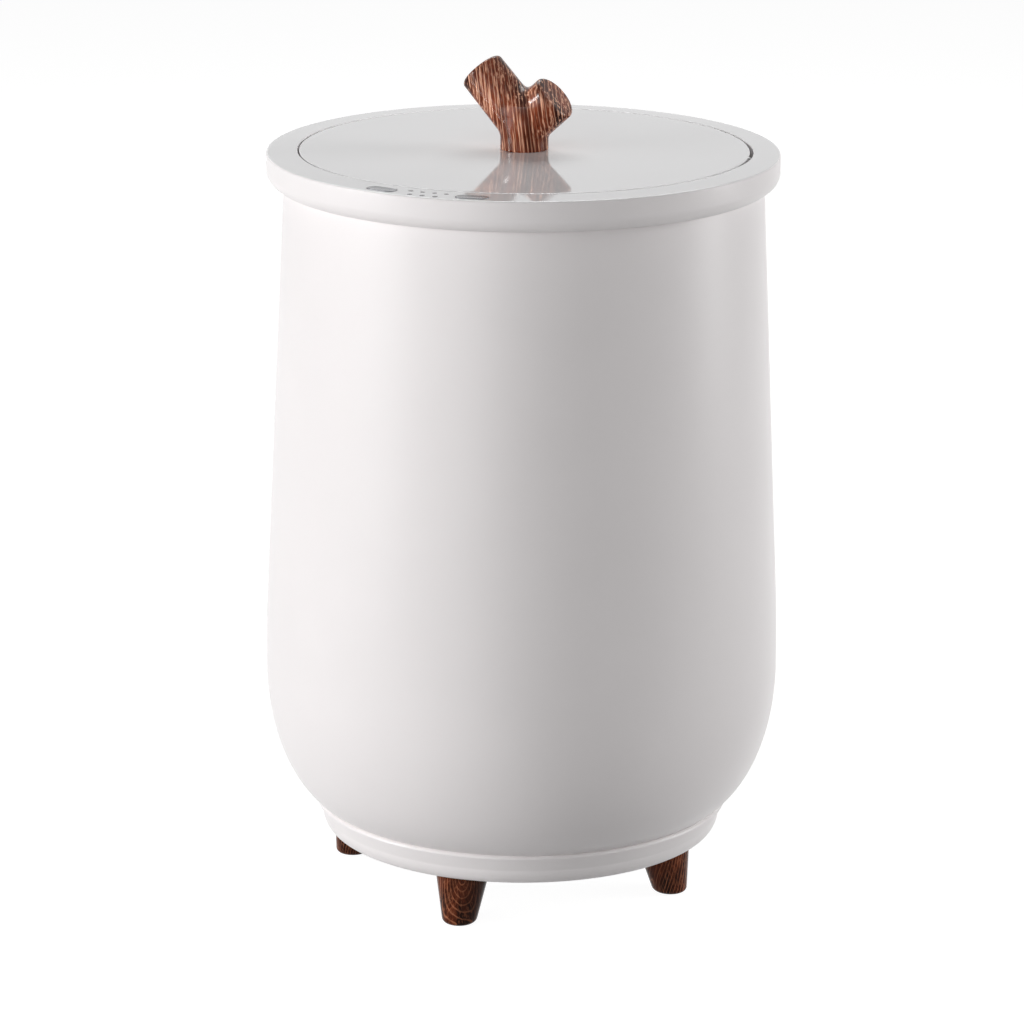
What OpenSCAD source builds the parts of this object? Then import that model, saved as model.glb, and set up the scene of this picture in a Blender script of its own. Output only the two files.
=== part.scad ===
// Free-standing towel warmer bucket: a tapered white barrel on a plinth with four
// splayed wooden legs, a lift-off lid with a forked wooden handle, and a control
// panel in the front of the top ring. Millimetres, +Z up, origin on the floor below
// the barrel's axis, control panel towards -Y.

/* [Legs] */
// Height of the plinth's underside above the floor
leg_h = 36.5; // [32:0.5:48]
// Diameter of a leg at the floor
leg_bottom_d = 21.5; // [19:0.5:25]
// Diameter of a leg at the plinth
leg_top_d = 36; // [32:0.5:38]
// Outward lean of each leg, degrees
leg_splay = 9.5; // [4:0.5:12]
// Distance of a foot's centre inside the plinth's lower edge
leg_in = 24.5; // [22:0.5:27]
// Extra distance of the left foot, as seen in use
left_leg_out = 11; // [0:0.5:11]
// Turn of the left leg away from the side, degrees
left_leg_turn = 6; // [0:0.5:8]
// Diameter of the bolt that holds each leg
leg_bolt_d = 6; // [5:0.5:8]
// Depth of the bolt in the leg
leg_bolt_depth = 24; // [18:1:27]

/* [Plinth tray] */
// Height of the plinth tray
tray_h = 20.5; // [18:0.5:26]
// Distance of the plinth's upper edge inside the shell's widest part
tray_in = 31; // [29:0.5:34]
// Taper of the plinth towards its lower edge
tray_taper = 4.5; // [3:0.5:6]
// Width of the rounding of the plinth's lower edge
tray_edge_w = 5.5; // [3:0.5:5.5]
// Height of that rounding
tray_edge_h = 10; // [5:0.5:10]
// Wall thickness of the tray
tray_wall = 3; // [2.5:0.1:4]
// Floor thickness of the tray
tray_floor_t = 4; // [3.5:0.1:5]
// Distance of the round service plate inside the plinth's lower edge
plate_in = 53.5; // [52:0.5:57]
// Thickness of the service plate
plate_t = 2; // [1.6:0.1:2.4]
// Length of each cooling slot in the service plate
vent_l = 26; // [18:1:28]
// Width of each cooling slot
vent_w = 3; // [2:0.5:4]
// Bore radius of the power cord's gland
gland_bore_r = 3.7; // [3:0.1:4]
// Outer radius of the gland's sleeve
gland_r = 5.8; // [5.2:0.1:6.2]

/* [Outer shell] */
// Height of the outer shell
shell_h = 411.5; // [380:0.5:440]
// Largest radius of the shell
shell_r = 165; // [162:0.5:170]
// Taper of the shell towards its upper edge
shell_taper = 14.1; // [12.5:0.1:15.1]
// Wall thickness of the shell
shell_wall = 3; // [2.4:0.1:3.6]
// Rise of the rounded belly above the shell's lower edge
belly_rise = 88; // [80:1:92]
// Half height of the ellipse that rounds the belly
belly_b = 93; // [93:1:110]
// Height above the belly at which the upper taper starts
knee_rise = 27; // [27:1:45]
// Reach of the soft bend into the taper, up and down
knee_t = 27; // [10:1:27]
// Width of the ledge that carries the bucket
ledge_w = 16.9; // [15.5:0.1:18]
// Thickness of that ledge
ledge_t = 4; // [3:0.5:6]

/* [Top ring] */
// Mean width of the ring's band around the lid
band_w = 19.1; // [18:0.1:20.5]
// Shift of the ring's outline towards the control panel
ring_shift = 1.5; // [1.5:0.5:3.5]
// Reach of the ring's skirt down past the shell's upper edge
ring_skirt = 8.5; // [7.5:0.5:14]
// Wall thickness of the ring
ring_wall = 2.6; // [2.2:0.1:2.8]
// Rounding of the ring's upper outer edge
ring_edge_r = 1.5; // [1:0.5:3]
// Fall of the ring's upper face towards its outer edge
ring_fall = 0.6; // [0:0.1:1]
// Height of the rounded underside of the skirt
skirt_round_h = 9; // [6:0.5:9.5]
// Width of the rounded underside of the skirt
skirt_round_w = 10; // [6:0.5:10]
// Thickness of the collar around that hole
collar_t = 4; // [3:0.1:4.2]
// Thickness of the ledge that the lid rests on
seat_t = 3; // [2.5:0.1:3.6]
// Width of that ledge
seat_w = 11.4; // [10.5:0.1:12]
// Gap between the bucket's side and that ledge's inner edge, seen from above
mouth_gap = 2; // [1:0.5:3]
// Depth of the finger relief at the side of the lid hole
relief_depth = 1.4; // [1:0.1:2.2]
// Direction of the relief, degrees
relief_angle = 15; // [0:1:30]

/* [Controls] */
// Direction of the control panel's middle, degrees
panel_angle = -91; // [-92:0.5:-88]
// Length of each push button along the ring
button_l = 20.5; // [18:0.5:22]
// Width of each push button
button_w = 9.5; // [8:0.5:10]
// Travel of each push button
button_travel = 0.8; // [0.4:0.1:0.8]
// Distance of the buttons' middle inside the ring's front edge
button_in = 9; // [9:0.5:11]
// Gap between each button's foot and the strip of indicator windows
button_gap = 2.5; // [1:0.1:6]
// Radius of each indicator window
lens_r = 1.6; // [1.2:0.1:1.8]
// Distance between the two rows of indicators
lens_rows = 8; // [7:0.1:8.4]
// Angle between neighbouring indicators, degrees
lens_step = 3; // [2.6:0.1:3]
// Turn of the outer row of indicators against the inner one, degrees
lens_turn = 1.2; // [0:0.1:1.4]
// Thickness of the control board
board_t = 1.6; // [1:0.1:1.8]
// Angle covered by the control board, degrees
board_angle = 46; // [44:1:50]

/* [Bucket and heating] */
// Gap between the inner bucket and the ledge's inner edge
bucket_gap = 5; // [4:0.5:7]
// Wall thickness of the inner bucket
bucket_wall = 1; // [0.8:0.1:1.2]
// Height of the bucket's floor above the shell's lower edge
bucket_lift = 56; // [53:1:70]
// Rounding between the bucket's wall and floor
bucket_corner_r = 14; // [8:1:20]
// Thickness of the bucket gasket
gasket_t = 3; // [2:0.1:3]
// Thickness of the side heating film
film_t = 1; // [0.6:0.1:1.2]
// Distance of the side heating film above the bucket's underside
film_low = 30; // [20:1:60]
// Distance of the film below the shell's ledge
film_high = 40; // [30:1:100]
// Thickness of the insulation sleeve
sleeve_t = 8; // [4:0.5:8]
// Distance of the insulation sleeve above the bucket's underside
sleeve_low = 14; // [14:1:40]
// Distance of the sleeve below the shell's ledge
sleeve_high = 18; // [10:1:60]
// Distance of the base heater's edge inside the bucket's side
heater_in = 37; // [33:1:45]
// Thickness of the base heater
heater_t = 1.5; // [1:0.1:2.5]
// Thickness of the insulation pad below it
pad_t = 12; // [11:0.5:16]
// Margin of the steel plate that carries the pad around the heater
carrier_lip = 6; // [4:1:8]
// Thickness of that steel plate
carrier_t = 1.2; // [0.8:0.1:2]
// Distance of its posts inside that plate's edge
post_in = 10; // [8:0.5:12]

/* [Lid] */
// Gap between the lid's edge and its hole
lid_gap = 0.8; // [0.5:0.1:1]
// Height of the lid panel's edge
lid_h = 7.5; // [7.2:0.1:9]
// Thickness of the lid panel
lid_t = 3; // [2.4:0.1:3.4]
// Thickness of the lid's seal
seal_t = 2; // [1.5:0.1:2.4]
// Gap between the pan below the lid and the ring's ledge
pan_gap = 6; // [5:0.5:10]
// Depth of that pan below the lid's rim
pan_depth = 13; // [10:0.5:16]
// Wall thickness of the pan
pan_wall = 0.8; // [0.6:0.1:1]

/* [Handle] */
// Height of the handle above the lid
handle_h = 56.8; // [54:0.1:62]
// Diameter of the stem
stem_d = 30.4; // [28:0.2:32]
// Height at which the two branches part
fork_z = 15.2; // [13:0.1:17]
// Lean of the long branch, degrees
long_lean = 44.6; // [40:0.1:48]
// Direction of the long branch, degrees
long_turn = 172; // [160:1:180]
// Diameter of the long branch at its end
long_end_d = 29.4; // [27:0.2:30.4]
// Lean of the short branch, degrees
short_lean = 47.5; // [44:0.1:54]
// Direction of the short branch, degrees
short_turn = -2; // [-12:1:8]
// Length of the short branch from the fork
short_l = 29; // [26:0.5:32]
// Rounding of the branches' ends
branch_edge_r = 2.5; // [1:0.1:3.5]
// Diameter of the handle's screw
handle_screw_d = 5; // [4:0.5:6]

/* [Hidden] */
$fn = 96;
fit = 0.3;
close_fit = 0.15;
eps = 0.01;

tray_z = leg_h;
floor_z = tray_z + tray_floor_t;
tray_top = tray_z + tray_h;
tray_top_r = shell_r - tray_in;
tray_bottom_r = tray_top_r - tray_taper;
leg_foot_r = tray_bottom_r - leg_in;
leg_top_r = leg_foot_r - leg_h * tan(leg_splay);
leg_angles = [-90, 0, 90];
left_angle = 180 + left_leg_turn;
left_foot_r = leg_foot_r + left_leg_out;
bolt_r = leg_bolt_d / 2;
bolt_washer_t = 1.2;
bolt_head_t = 3.6;
bolt_end = 1;
leg_extra = 8;

tray_flange_t = 3;
tray_rim_r = 2;
plate_r = tray_bottom_r - plate_in;
plate_hole_r = plate_r - 8;
plate_screw_ring_r = plate_r - 4;
plate_screw_r = 1.5;
plate_screw_head_t = 1;
plate_boss_r = 3.4;
plate_boss_h = 8;
quarter_angles = [45, 135, 225, 315];
vent_count = 12;
vent_mid_r = 44;

foot_step = 2.2;
shell_foot_r = tray_top_r - foot_step;
shell_z = tray_top;
shell_top = shell_z + shell_h;
shell_top_r = shell_r - shell_taper;
ledge_r = shell_top_r - ledge_w;
bucket_r = ledge_r - bucket_gap;
shell_flange_t = 3;
shell_screw_r = 2;
shell_screw_l = 21;
shell_boss_h = 14;
shell_boss_r = 5;
shell_boss_in = 11.3;
column_ring_r = shell_foot_r - shell_boss_in;
flange_in_r = column_ring_r - shell_boss_r - 1;
column_wall = 1.2;
head_recess_h = 14;
shell_screw_head_t = 2.6;
gland_z = tray_z + tray_h / 2;
gland_recess = 2;
gland_face = tray_r_at(gland_z) - gland_recess;
gland_sleeve_l = 9;
gland_proud = 1;
gland_flange_t = 1.8;
gland_flange_lip = 2.4;
gland_seat_wall = 3.4;
belly_z = shell_z + belly_rise;
belly_in = (shell_r - shell_foot_r) / (1 - sqrt(1 - pow(belly_rise / belly_b, 2)));
knee_z = belly_z + knee_rise;
taper = (shell_r - shell_top_r) / (shell_top - knee_z);
belly_steps = 18;
knee_steps = 8;

mouth_r = bucket_r + mouth_gap;
lid_hole_r = mouth_r + seat_w;
ring_r = lid_hole_r + band_w;
seat_z = shell_top + seat_t;
lid_z = seat_z + seal_t;
ring_top = lid_z + lid_h;
ring_rise = ring_top - shell_top;
ring_bottom = shell_top - ring_skirt;
band_under = ring_top - ring_wall;
skirt_inner_r = ring_r - skirt_round_w;
shell_clear_r = shell_r_at(ring_bottom) + fit;
relief_cut_r = 120;
key_w = 2;
key_reach = 1.5;

button_foot_t = 1.5;
button_foot_lip = 1.2;
button_clear = 0.25;
button_proud = 0.3;
plunger_gap = 0.2;
switch_h = 1.1;
switch_w = 6;
plunger_h = 0.4;
plunger_r = 1.6;
board_drop = button_foot_t + button_travel + plunger_gap + switch_h + plunger_h;
board_top = band_under - board_drop;
board_gap = 1.4;
board_w = 11.8;
board_in_r = lid_hole_r + collar_t + board_gap;
board_out_r = board_in_r + board_w;
board_boss_angle = board_angle / 2 - 3;
board_boss_r = 2.8;
board_screw_r = 1.2;
board_screw_head_t = 1.2;
lens_foot_t = 1.2;
lens_foot_lip = 0.4;
lens_recess = 0.1;
lens_clear = 0.1;
led_h = 2.4;
led_w = 1.6;
lens_angles = [-1.4, -0.4, 0.6, 1.55];
lens_columns = len(lens_angles);
lens_margin = 1.6;
button_r = ring_r + ring_shift - button_in;
degrees_per_mm = 180 / (PI * button_r);
lens_half_span = lens_angles[lens_columns - 1] * lens_step + (lens_r + lens_margin) * degrees_per_mm;
button_angle = lens_half_span + (button_gap + button_l / 2 + button_foot_lip) * degrees_per_mm;

ledge_top = shell_top - gasket_t - bucket_wall;
ledge_under = ledge_top - ledge_t;
bucket_flange_w = 6.5;
bucket_flange_r = ledge_r + bucket_flange_w;
bucket_floor = shell_z + bucket_lift;
bucket_under = bucket_floor - bucket_wall;
wrap_gap = 0.2;
film_in_r = bucket_r + wrap_gap;
film_z = bucket_under + film_low;
film_h = ledge_under - film_high - film_z;
film_seam = 4;
sleeve_in_r = film_in_r + film_t + wrap_gap;
sleeve_z = bucket_under + sleeve_low;
sleeve_h = ledge_under - sleeve_high - sleeve_z;
pad_top = bucket_under - heater_t;
pad_under = pad_top - pad_t;
carrier_under = pad_under - carrier_t;
heater_hole_r = 30;
heater_r = bucket_r - heater_in;
carrier_r = heater_r + carrier_lip;
post_ring_r = carrier_r - post_in;
post_r = 4;
thermostat_at = [-12, 0];
thermostat_flange_r = 11;
thermostat_flange_t = 3;
thermostat_r = 8;
thermostat_h = 10;
fuse_at = [14, 0];
fuse_size = [8, 18, 5];
fuse_stud_r = 2;
fuse_stud_h = 3;
cable_r = 1.8;
cable_clear = 0.6;
cable_out = 9.8;
cable_ring_r = ledge_r + cable_out;

lid_r = lid_hole_r - lid_gap;
pan_r = mouth_r - pan_gap;
lid_skirt_t = 2.4;
pan_floor = lid_z - pan_depth;
pan_chamfer = 6;
pan_flange_gap = 0.2;
lid_edge_r = 0.8;
seal_in = 1.5;
seal_out = 1;

stem_r = stem_d / 2;
long_end_r = long_end_d / 2;
long_l = branch_edge_r + (handle_h - fork_z - branch_edge_r
    - (long_end_r - branch_edge_r) * sin(long_lean)) / cos(long_lean);
fork_swell = 0.2;
handle_bore_r = handle_screw_d / 2 + 0.1;
handle_screw_l = 22;
handle_screw_head_t = 3;
handle_screw_head_r = 0.9 * handle_screw_d;
washer_t = 1.2;
washer_r = 8;

power_board_l = 84;
power_board_w = 56;
power_post_h = 6;
power_post_r = 3.2;
power_post_in = 6;
power_post_at = [power_board_l / 2 - power_post_in, power_board_w / 2 - power_post_in];
transformer_at = [-30, -13];
transformer_size = [28, 24, 20];
relay_at = [4, -22];
relay_size = [16, 20, 15];
capacitor_at = [-20, 19];
capacitor_r = 6;
capacitor_h = 18;
power_screw_head_t = 1.6;
power_board_z = tray_z + plate_t + power_post_h;
power_board_top = power_board_z + board_t;

cable_route = [
    [0, -24, power_board_top + cable_r],
    [0, -46, power_board_top + 12],
    [0, -104, tray_top + 8],
    [0, -cable_ring_r, sleeve_z - 6],
    [0, -cable_ring_r, shell_top - 2.4],
    [0, -shell_top_r - 3.4, shell_top - 2.4],
    [0, -shell_top_r - 3.4, board_top - board_t]
];
cable_bend = 14;
terminal_at = [26, -6];
terminal_size = [12, 22, 11];
terminal_holes = [5.5, 16.5];
terminal_hole_r = 2;
terminal_hole_depth = 5;
lead_r = 1.2;
lead_at = [terminal_at[0] + terminal_size[0] / 2, terminal_at[1] + terminal_holes[1]];
heater_route = [
    [lead_at[0], lead_at[1], power_board_top + terminal_size[2] - terminal_hole_depth],
    [lead_at[0], lead_at[1], power_board_top + 24],
    [heater_hole_r - 6, lead_at[1] - 3, pad_under - 6],
    [heater_hole_r - 6, lead_at[1] - 3, bucket_under - fit]
];

// Radius of the shell's outside at height z
function shell_r_at(z) =
    z < belly_z ? shell_r - belly_in * (1 - sqrt(1 - pow((belly_z - z) / belly_b, 2)))
    : z < knee_z - knee_t ? shell_r
    : z < knee_z + knee_t ? shell_r - taper * knee_t * pow((z - knee_z + knee_t) / (2 * knee_t), 2)
    : shell_r - taper * (z - knee_z);

// Heights at which the shell's outline turns, from its foot to its upper edge
function shell_heights() = concat(
    [for (i = [0 : belly_steps]) belly_z - belly_b * sin(asin(belly_rise / belly_b) * (1 - i / belly_steps))],
    [for (i = [0 : knee_steps]) knee_z - knee_t + 2 * knee_t * i / knee_steps],
    [shell_top]);

// Points of an arc of an ellipse around c, from angle a to angle b
function arc(c, rx, ry, a, b, n) =
    [for (i = [0 : n]) [c[0] + rx * cos(a + (b - a) * i / n), c[1] + ry * sin(a + (b - a) * i / n)]];

function reversed(v) = [for (i = [len(v) - 1 : -1 : 0]) v[i]];

// Turns and shifts children to angle a and radius r around the barrel's axis
module at(a, r, z = 0) {
    rotate([0, 0, a]) translate([r, 0, z]) children();
}

module ring_solid(r_in, r_out, z, h) {
    translate([0, 0, z]) difference() {
        cylinder(r = r_out, h = h);
        translate([0, 0, -1]) cylinder(r = r_in, h = h + 2);
    }
}

// Flat oval lying across the radius, its length along Y
module oval(l, w) {
    square([w, l - w], center = true);
    for (s = [-1, 1]) translate([0, s * (l - w) / 2]) circle(d = w);
}

function unit(v) = v / norm(v);

// Route with each corner replaced by a short curve that starts and ends d before and after it
function rounded(route, bend) = concat([route[0]],
    [for (i = [1 : len(route) - 2])
        let (p = route[i], back = route[i - 1] - p, on = route[i + 1] - p,
             d = min(bend, 0.45 * norm(back), 0.45 * norm(on)),
             a = p + unit(back) * d, b = p + unit(on) * d)
        for (t = [0 : 0.25 : 1]) a * (1 - t) * (1 - t) + p * 2 * t * (1 - t) + b * t * t],
    [route[len(route) - 1]]);

// Tube of radius r along a route, which runs square to side
module wire(route, r, bend, side = [1, 0, 0], sides = 8) {
    path = rounded(route, bend);
    n = len(path);
    rings = [for (i = [0 : n - 1])
        let (on = i < n - 1 ? unit(path[i + 1] - path[i]) : [0, 0, 0],
             from = i > 0 ? unit(path[i] - path[i - 1]) : [0, 0, 0],
             t = unit(on + from), u = unit(side - t * (side * t)), v = cross(t, u))
        for (k = [0 : sides - 1]) path[i] + r * (u * cos(k * 360 / sides) + v * sin(k * 360 / sides))];
    walls = [for (i = [0 : n - 2], k = [0 : sides - 1])
        let (a = i * sides + k, b = i * sides + (k + 1) % sides)
        each [[a, a + sides, b], [b, a + sides, b + sides]]];
    last = (n - 1) * sides;
    ends = [for (k = [1 : sides - 2]) each [[0, k, k + 1], [last, last + k + 1, last + k]]];
    polyhedron(points = rings, faces = concat(walls, ends));
}

// Legs

module leg(foot_r) {
    top_r = foot_r - leg_h * tan(leg_splay);
    half_taper = (leg_top_d - leg_bottom_d) / 2;
    reach = leg_h / cos(leg_splay);
    block = 3 * leg_top_d;
    color("saddlebrown") difference() {
        intersection() {
            translate([foot_r, 0, 0]) rotate([0, -leg_splay, 0]) translate([0, 0, -leg_extra])
                cylinder(r1 = leg_bottom_d / 2 - half_taper * leg_extra / reach,
                         r2 = leg_top_d / 2 + half_taper * leg_extra / reach, h = reach + 2 * leg_extra);
            translate([foot_r, 0, leg_h / 2]) cube([block, block, leg_h], center = true);
        }
        translate([top_r, 0, leg_h - leg_bolt_depth])
            cylinder(r = bolt_r + close_fit, h = leg_bolt_depth + 1);
    }
}

module leg_front() rotate([0, 0, leg_angles[0]]) leg(leg_foot_r);
module leg_right() rotate([0, 0, leg_angles[1]]) leg(leg_foot_r);
module leg_back() rotate([0, 0, leg_angles[2]]) leg(leg_foot_r);
module leg_left() rotate([0, 0, left_angle]) leg(left_foot_r);

module at_leg_tops(z) {
    for (a = leg_angles) at(a, leg_top_r, z) children();
    at(left_angle, leg_top_r + left_leg_out, z) children();
}

module leg_bolts() {
    shank = tray_floor_t + leg_bolt_depth - bolt_end;
    color("silver") at_leg_tops(floor_z) {
        cylinder(r = bolt_r * 2, h = bolt_washer_t);
        translate([0, 0, bolt_washer_t - eps]) cylinder(r = bolt_r * 5 / 3, h = bolt_head_t, $fn = 6);
        translate([0, 0, -shank]) cylinder(r = bolt_r, h = shank + bolt_washer_t / 2);
    }
}

// Plinth

// Outside radius of the plinth at height z
function tray_r_at(z) = tray_bottom_r + (tray_top_r - tray_bottom_r) * (z - tray_z) / tray_h;

module tray_body() {
    foot = [tray_bottom_r - tray_edge_w, tray_z + tray_edge_h];
    crown = [tray_top_r - tray_rim_r, tray_top - tray_rim_r];
    rotate_extrude($fn = 128) difference() {
        polygon(concat([[plate_hole_r, tray_z]],
            arc(foot, tray_edge_w, tray_edge_h, -90, 0, 10),
            arc(crown, tray_rim_r, tray_rim_r, 0, 90, 6),
            [[plate_hole_r, tray_top]]));
        polygon([[plate_hole_r - 1, floor_z],
            [tray_bottom_r - tray_wall - tray_edge_w / 2, floor_z],
            [tray_r_at(tray_z + tray_edge_h) - tray_wall, tray_z + tray_edge_h],
            [tray_r_at(tray_top - tray_flange_t) - tray_wall, tray_top - tray_flange_t],
            [flange_in_r, tray_top - tray_flange_t],
            [flange_in_r, tray_top + 1],
            [plate_hole_r - 1, tray_top + 1]]);
    }
}

module plinth_tray() {
    color("white") difference() {
        union() {
            tray_body();
            for (a = quarter_angles) {
                at(a, column_ring_r, tray_z + 2) cylinder(r = shell_boss_r, h = tray_h - 3);
                at(a, plate_screw_ring_r, floor_z - 1) cylinder(r = plate_boss_r, h = plate_boss_h + 1);
            }
            translate([0, gland_face - gland_sleeve_l, gland_z]) rotate([-90, 0, 0])
                cylinder(r = gland_r + gland_seat_wall, h = gland_sleeve_l - 0.5);
        }
        translate([0, 0, tray_z - 1]) cylinder(r = plate_r + fit, h = plate_t + 1);
        at_leg_tops(tray_z - 1) cylinder(r = bolt_r + 0.2, h = tray_floor_t + 2);
        for (a = quarter_angles) {
            at(a, column_ring_r, tray_z - 1) cylinder(r = shell_boss_r - column_wall, h = head_recess_h + 1);
            at(a, column_ring_r, tray_z) cylinder(r = shell_screw_r + close_fit, h = tray_h + 1);
            at(a, plate_screw_ring_r, tray_z)
                cylinder(r = plate_screw_r + close_fit, h = tray_floor_t + plate_boss_h + 1);
        }
        translate([0, gland_face, gland_z]) rotate([-90, 0, 0])
            cylinder(r = gland_r + gland_flange_lip + close_fit, h = 4 * gland_flange_t);
        translate([0, gland_face - 2 * gland_sleeve_l, gland_z]) rotate([-90, 0, 0])
            cylinder(r = gland_r + close_fit, h = 3 * gland_sleeve_l);
    }
}

module service_plate() {
    color("whitesmoke") difference() {
        union() {
            translate([0, 0, tray_z]) cylinder(r = plate_r, h = plate_t);
            for (x = [-1, 1], y = [-1, 1])
                translate([x * power_post_at[0], y * power_post_at[1], tray_z + plate_t - 0.5])
                    cylinder(r = power_post_r, h = power_post_h + 0.5);
        }
        for (a = quarter_angles) at(a, plate_screw_ring_r, tray_z - 1) {
            cylinder(r = plate_screw_r + close_fit, h = plate_t + 2);
            cylinder(r = plate_screw_r * 2 + close_fit, h = 1 + plate_screw_head_t);
        }
        for (i = [0 : vent_count - 1]) at((i + 0.5) * 360 / vent_count, vent_mid_r, tray_z - 1)
            linear_extrude(plate_t + 2) rotate(90) oval(vent_l, vent_w);
        for (x = [-1, 1], y = [-1, 1])
            translate([x * power_post_at[0], y * power_post_at[1], tray_z + plate_t])
                cylinder(r = board_screw_r + close_fit, h = power_post_h + 1);
    }
}

module service_plate_screws() {
    color("silver") for (a = quarter_angles) at(a, plate_screw_ring_r, tray_z) {
        cylinder(r = plate_screw_r * 2, h = plate_screw_head_t);
        cylinder(r = plate_screw_r, h = tray_floor_t + plate_boss_h - 1);
    }
}

module cord_gland() {
    color("dimgray") translate([0, gland_face, gland_z]) rotate([-90, 0, 0]) difference() {
        union() {
            translate([0, 0, -gland_sleeve_l]) cylinder(r = gland_r, h = gland_sleeve_l + gland_proud);
            cylinder(r = gland_r + gland_flange_lip, h = gland_flange_t);
        }
        translate([0, 0, -gland_sleeve_l - 1]) cylinder(r = gland_bore_r, h = 2 * gland_sleeve_l);
    }
}

// Power electronics on the service plate

module power_board() {
    color("darkgreen") translate([0, 0, power_board_z]) difference() {
        translate([-power_board_l / 2, -power_board_w / 2, 0]) cube([power_board_l, power_board_w, board_t]);
        for (x = [-1, 1], y = [-1, 1])
            translate([x * power_post_at[0], y * power_post_at[1], -1])
                cylinder(r = board_screw_r + close_fit, h = board_t + 2);
    }
}

module power_parts() {
    color("goldenrod") translate([0, 0, power_board_top]) {
        translate(transformer_at) cube(transformer_size);
        translate(relay_at) cube(relay_size);
        translate(capacitor_at) cylinder(r = capacitor_r, h = capacitor_h);
    }
}

module terminal_block() {
    color("seagreen") translate([terminal_at[0], terminal_at[1], power_board_top]) difference() {
        cube(terminal_size);
        for (y = terminal_holes)
            translate([terminal_size[0] / 2, y, terminal_size[2] - terminal_hole_depth])
                cylinder(r = terminal_hole_r, h = terminal_hole_depth + 1, $fn = 32);
    }
}

module power_board_screws() {
    color("silver") for (x = [-1, 1], y = [-1, 1])
        translate([x * power_post_at[0], y * power_post_at[1], power_board_top]) {
            cylinder(r = board_screw_r * 2, h = power_screw_head_t);
            translate([0, 0, -board_t - power_post_h + 1])
                cylinder(r = board_screw_r, h = board_t + power_post_h - 0.5);
        }
}

// Barrel

module shell_body() {
    zs = shell_heights();
    flange_z = shell_z + shell_flange_t;
    inner_zs = [for (z = zs) if (z > flange_z + eps && z < ledge_under - eps) z];
    rotate_extrude($fn = 160) polygon(concat(
        [[flange_in_r, shell_z]],
        [for (z = zs) [shell_r_at(z), z]],
        [[shell_top_r - shell_wall, shell_top], [shell_top_r - shell_wall, ledge_top],
         [ledge_r, ledge_top], [ledge_r, ledge_under], [shell_r_at(ledge_under) - shell_wall, ledge_under]],
        reversed([for (z = inner_zs) [shell_r_at(z) - shell_wall, z]]),
        [[shell_r_at(flange_z) - shell_wall, flange_z], [flange_in_r, flange_z]]));
}

module outer_shell() {
    color("white") difference() {
        union() {
            shell_body();
            for (a = quarter_angles)
                at(a, column_ring_r, shell_z) cylinder(r = shell_boss_r, h = shell_boss_h);
        }
        for (a = quarter_angles)
            at(a, column_ring_r, shell_z - 1) cylinder(r = shell_screw_r + close_fit, h = shell_boss_h + 2);
        at(-90, cable_ring_r, ledge_under - 1) cylinder(r = cable_r + cable_clear, h = ledge_t + 2);
        at(-90, shell_top_r, shell_top)
            cube([14, 2 * (cable_r + cable_clear), 4 * (cable_r + cable_clear)], center = true);
    }
}

module shell_screws() {
    color("silver") for (a = quarter_angles) at(a, column_ring_r, tray_z + head_recess_h) {
        translate([0, 0, -shell_screw_head_t]) cylinder(r = shell_screw_r * 1.7, h = shell_screw_head_t);
        translate([0, 0, -1]) cylinder(r = shell_screw_r, h = shell_screw_l - 1);
    }
}

module carrier_posts() {
    color("lightgray") for (a = quarter_angles)
        at(a, post_ring_r, floor_z) cylinder(r = post_r, h = carrier_under - floor_z);
}

module carrier_plate() {
    color("silver") ring_solid(heater_hole_r, carrier_r, carrier_under, carrier_t);
}

module insulation_pad() {
    color("khaki") ring_solid(heater_hole_r, carrier_r - 1, pad_under, pad_t);
}

module base_heater() {
    color("orange") ring_solid(heater_hole_r, heater_r, pad_top, heater_t);
}

module thermostat() {
    color("lightgray") translate(thermostat_at) {
        translate([0, 0, bucket_under - thermostat_flange_t])
            cylinder(r = thermostat_flange_r, h = thermostat_flange_t);
        translate([0, 0, bucket_under - thermostat_h])
            cylinder(r = thermostat_r, h = thermostat_h - thermostat_flange_t / 2);
    }
}

module thermal_fuse() {
    color("beige") translate([fuse_at[0], fuse_at[1], bucket_under - fuse_size[2]]) {
        translate([-fuse_size[0] / 2, -fuse_size[1] / 2, 0]) cube(fuse_size);
        translate([0, 0, -fuse_stud_h]) cylinder(r = fuse_stud_r, h = fuse_stud_h + 1);
    }
}

module inner_bucket() {
    top = ledge_top + bucket_wall;
    wall_in = bucket_r - bucket_wall;
    corner = [bucket_r - bucket_corner_r, bucket_under + bucket_corner_r];
    inner_r = bucket_corner_r - bucket_wall;
    color("silver") rotate_extrude($fn = 128) polygon(concat(
        [[0, bucket_under]],
        arc(corner, bucket_corner_r, bucket_corner_r, -90, 0, 8),
        [[bucket_r, ledge_top], [bucket_flange_r, ledge_top], [bucket_flange_r, top], [wall_in, top]],
        arc(corner, inner_r, inner_r, 0, -90, 8),
        [[0, bucket_floor]]));
}

module side_heating_film() {
    color("orangered") difference() {
        ring_solid(film_in_r, film_in_r + film_t, film_z, film_h);
        translate([0, film_in_r, film_z + film_h / 2]) cube([film_seam, 20, film_h + 2], center = true);
    }
}

module insulation_sleeve() {
    color("khaki") ring_solid(sleeve_in_r, sleeve_in_r + sleeve_t, sleeve_z, sleeve_h);
}

module bucket_gasket() {
    color("dimgray") ring_solid(ledge_r - 1, bucket_flange_r, ledge_top + bucket_wall, gasket_t);
}

// Top ring, eccentric outside and concentric inside

module ring_outside() {
    edge = [ring_r - ring_edge_r, ring_top - ring_fall - ring_edge_r];
    under = [skirt_inner_r, ring_bottom + skirt_round_h];
    rotate_extrude($fn = 160) polygon(concat(
        [[mouth_r - 12, ring_bottom]],
        arc(under, skirt_round_w, skirt_round_h, -90, 0, 10),
        arc(edge, ring_edge_r, ring_edge_r, 0, 90, 6),
        [[lid_hole_r - ring_shift, ring_top], [mouth_r - 12, ring_top]]));
}

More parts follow.
